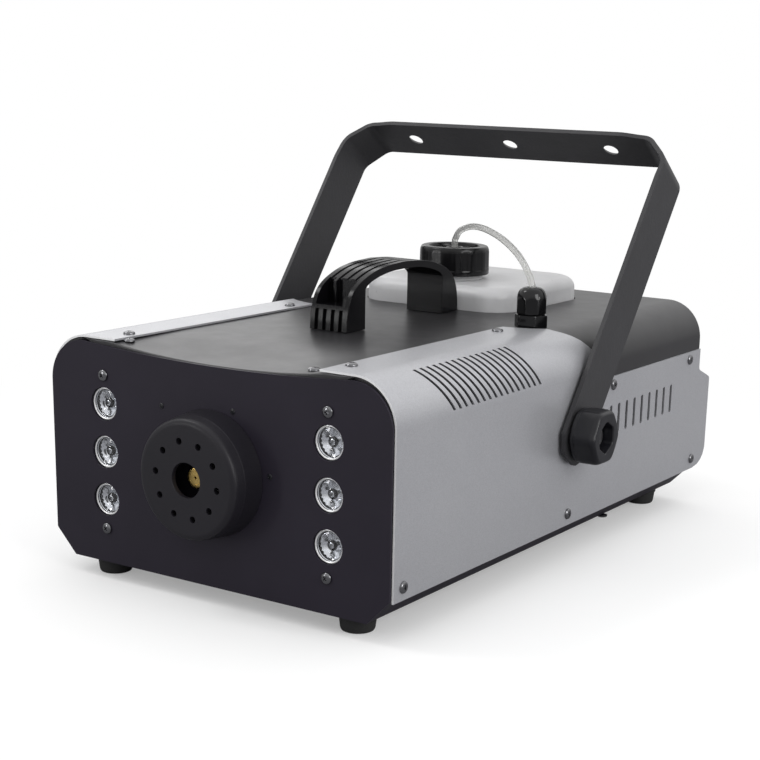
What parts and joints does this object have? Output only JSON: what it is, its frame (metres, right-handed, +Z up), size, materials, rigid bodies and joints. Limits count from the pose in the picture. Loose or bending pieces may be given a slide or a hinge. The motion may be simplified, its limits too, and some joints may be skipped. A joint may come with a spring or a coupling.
{
  "type": "fog machine",
  "caption": "Stage fog machine: sheet-metal housing with front lamps and fog nozzle, fluid tank, carrying handle and hanging yoke.",
  "frame": {"origin": "on the floor, in the middle of the overall footprint (side to side and front to back)", "axes": "+X is the right-hand side seen from the nozzle, +Y points from the nozzle to the rear controls, +Z up"},
  "size_m": [0.3016, 0.4454, 0.2693],
  "materials": {
    "black_paint": "fine satin powder coat, black",
    "cover_black": "satin black paint",
    "silver_paint": "satin metallic silver paint",
    "charcoal_paint": "fine textured charcoal powder coat",
    "black_plastic": "moulded black, light texture",
    "rubber_black": "matte moulded rubber",
    "tank_plastic": "translucent natural polyethylene",
    "tube_plastic": "clear hose",
    "brass": "turned",
    "zinc_steel": "zinc plated",
    "aluminium": "as cast",
    "clear_lens": "clear moulded optic",
    "circuit_board": "green solder mask",
    "copper": "bare copper tube",
    "display_plastic": "dark glossy window"
  },
  "bodies": {
    "housing": {"base_chassis": "black_paint", "front_plate": "black_paint", "rear_plate": "black_paint", "top_cover": "cover_black", "side_panel_left": "silver_paint", "side_panel_right": "silver_paint", "carry_handle": "black_plastic", "nozzle_shroud": "black_plastic", "thermostat": "black_plastic", "pump_coil": "black_plastic", "gland_body": "black_plastic", "gland_nut": "black_plastic", "gland_locknut": "black_plastic", "switch_housing": "black_plastic", "power_inlet": "black_plastic", "dmx_input_socket": "black_plastic", "dmx_output_socket": "black_plastic", "foot_front_left": "rubber_black", "foot_front_right": "rubber_black", "foot_rear_left": "rubber_black", "foot_rear_right": "rubber_black", "pivot_spacer_left": "rubber_black", "pivot_spacer_right": "rubber_black", "tank": "tank_plastic", "feed_tube": "tube_plastic", "nozzle_tip": "brass", "pump_core": "brass", "intake_filter": "brass", "pivot_bracket_left": "zinc_steel", "pivot_bracket_right": "zinc_steel", "heater_bracket": "zinc_steel", "heater_shield": "zinc_steel", "pump_bracket": "zinc_steel", "heater_block": "aluminium", "fluid_pipe": "copper", "led_lens_left_1": "clear_lens", "led_lens_left_2": "clear_lens", "led_lens_left_3": "clear_lens", "led_lens_right_1": "clear_lens", "led_lens_right_2": "clear_lens", "led_lens_right_3": "clear_lens", "led_board_left": "circuit_board", "led_board_right": "circuit_board", "control_board": "circuit_board", "display_module": "display_plastic"},
    "yoke": {"yoke": "charcoal_paint"},
    "washer_left": {"knob_washer_left": "zinc_steel"},
    "washer_right": {"knob_washer_right": "zinc_steel"},
    "knob_left": {"knob_left": "black_plastic", "pivot_bolt_left": "zinc_steel"},
    "knob_right": {"knob_right": "black_plastic", "pivot_bolt_right": "zinc_steel"},
    "cap_seal": {"cap_seal": "rubber_black"},
    "tank_cap": {"tank_cap": "black_plastic"},
    "power_rocker": {"power_rocker": "black_plastic"},
    "fuse_carrier": {"fuse_carrier": "black_plastic"},
    "menu_button_1": {"menu_button_1": "black_plastic"},
    "menu_button_2": {"menu_button_2": "black_plastic"},
    "menu_button_3": {"menu_button_3": "black_plastic"},
    "menu_button_4": {"menu_button_4": "black_plastic"}
  },
  "joints": [
    {"name": "yoke_tilt", "type": "hinge", "parent": "housing", "child": "yoke", "pos_m": [0, 0.00475, 0.086], "axis": [1, 0, 0], "range_deg": [-30, 100]},
    {"name": "knob_lead_right", "type": "slide", "parent": "housing", "child": "washer_right", "axis": [1, 0, 0], "range_m": [0, 0.0025]},
    {"name": "knob_turn_right", "type": "hinge", "parent": "washer_right", "child": "knob_right", "pos_m": [0.145, 0.00475, 0.086], "axis": [1, 0, 0], "range_deg": [0, 720]},
    {"name": "knob_lead_left", "type": "slide", "parent": "housing", "child": "washer_left", "axis": [-1, 0, 0], "range_m": [0, 0.0025]},
    {"name": "knob_turn_left", "type": "hinge", "parent": "washer_left", "child": "knob_left", "pos_m": [-0.145, 0.00475, 0.086], "axis": [-1, 0, 0], "range_deg": [0, 720]},
    {"name": "cap_lift", "type": "slide", "parent": "housing", "child": "cap_seal", "axis": [0, 0, 1], "range_m": [0, 0.0045]},
    {"name": "cap_turn", "type": "hinge", "parent": "cap_seal", "child": "tank_cap", "pos_m": [-0.017, 0.08775, 0.176], "axis": [0, 0, 1], "range_deg": [0, 540]},
    {"name": "menu_press_1", "type": "slide", "parent": "housing", "child": "menu_button_1", "axis": [0, -1, 0], "range_m": [0, 0.001]},
    {"name": "menu_press_2", "type": "slide", "parent": "housing", "child": "menu_button_2", "axis": [0, -1, 0], "range_m": [0, 0.001]},
    {"name": "menu_press_3", "type": "slide", "parent": "housing", "child": "menu_button_3", "axis": [0, -1, 0], "range_m": [0, 0.001]},
    {"name": "menu_press_4", "type": "slide", "parent": "housing", "child": "menu_button_4", "axis": [0, -1, 0], "range_m": [0, 0.001]},
    {"name": "rocker_tilt", "type": "hinge", "parent": "housing", "child": "power_rocker", "pos_m": [0.082, 0.19625, 0.088], "axis": [1, 0, 0], "range_deg": [-16, 0]},
    {"name": "fuse_turn", "type": "hinge", "parent": "housing", "child": "fuse_carrier", "pos_m": [0.082, 0.19975, 0.119], "axis": [0, 1, 0], "range_deg": [0, 90]}
  ],
  "couplings": [
    {"joint": "knob_lead_right", "follows": "knob_turn_right", "m_per_rad": 0.00019894},
    {"joint": "knob_lead_left", "follows": "knob_turn_left", "m_per_rad": 0.00019894},
    {"joint": "cap_lift", "follows": "cap_turn", "m_per_rad": 0.00047746}
  ]
}
